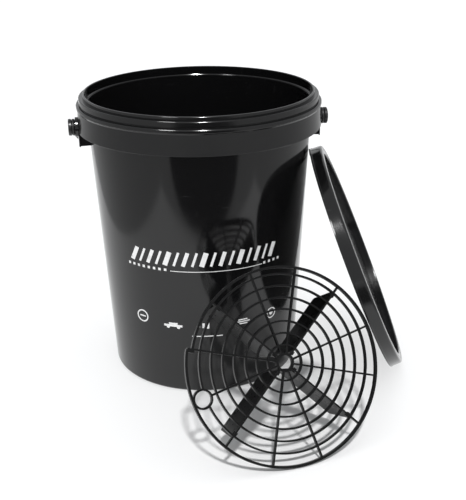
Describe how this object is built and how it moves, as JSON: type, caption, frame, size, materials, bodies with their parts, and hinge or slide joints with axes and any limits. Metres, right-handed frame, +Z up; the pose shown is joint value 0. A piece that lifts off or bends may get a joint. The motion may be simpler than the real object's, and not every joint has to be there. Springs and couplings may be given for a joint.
{
  "type": "wash bucket",
  "caption": "Tapered plastic pail with ribbed rim and swinging wire bail, shown with its clip-on lid and a round grit guard with back fins.",
  "frame": {"origin": "centre of the pail's flat base, on the floor", "axes": "+Z up the pail's axis; +X along the bail's pivot axis, towards the leaning lid; -Y is the front, where the grit guard stands"},
  "size_m": [0.4553, 0.4886, 0.384],
  "materials": {
    "pail_plastic": "glossy moulded polypropylene, black",
    "cap_plastic": "moulded plastic, black",
    "bail_steel": "black coated wire",
    "grip_plastic": "fine satin, black",
    "lid_plastic": "glossy moulded polypropylene, black",
    "gasket_rubber": "soft matt, dark grey",
    "guard_plastic": "satin moulded plastic, black"
  },
  "bodies": {
    "pail": {"bucket_shell": "pail_plastic", "pivot_cap_left": "cap_plastic", "pivot_cap_right": "cap_plastic"},
    "bail": {"bail_wire": "bail_steel"},
    "grip": {"handle_grip": "grip_plastic"},
    "lid": {"lid_shell": "lid_plastic", "lid_gasket": "gasket_rubber"},
    "guard": {"guard_grid": "guard_plastic", "guard_fin_upper_right": "guard_plastic", "guard_fin_upper_left": "guard_plastic", "guard_fin_lower_left": "guard_plastic", "guard_fin_lower_right": "guard_plastic"}
  },
  "joints": [
    {"name": "bail_swing", "type": "hinge", "parent": "pail", "child": "bail", "pos_m": [0, 0, 0.34], "axis": [1, 0, 0], "range_deg": [0, 230]},
    {"name": "grip_roll", "type": "hinge", "parent": "bail", "child": "grip", "pos_m": [0, 0.15393, 0.25182], "axis": [1, 0, 0], "continuous": true},
    {"name": "lid_away", "type": "slide", "parent": "pail", "child": "lid", "axis": [0.9836, -0.1805, 0], "range_m": [0, 0.15]},
    {"name": "guard_away", "type": "slide", "parent": "pail", "child": "guard", "axis": [0, -1, 0], "range_m": [0, 0.15]}
  ]
}
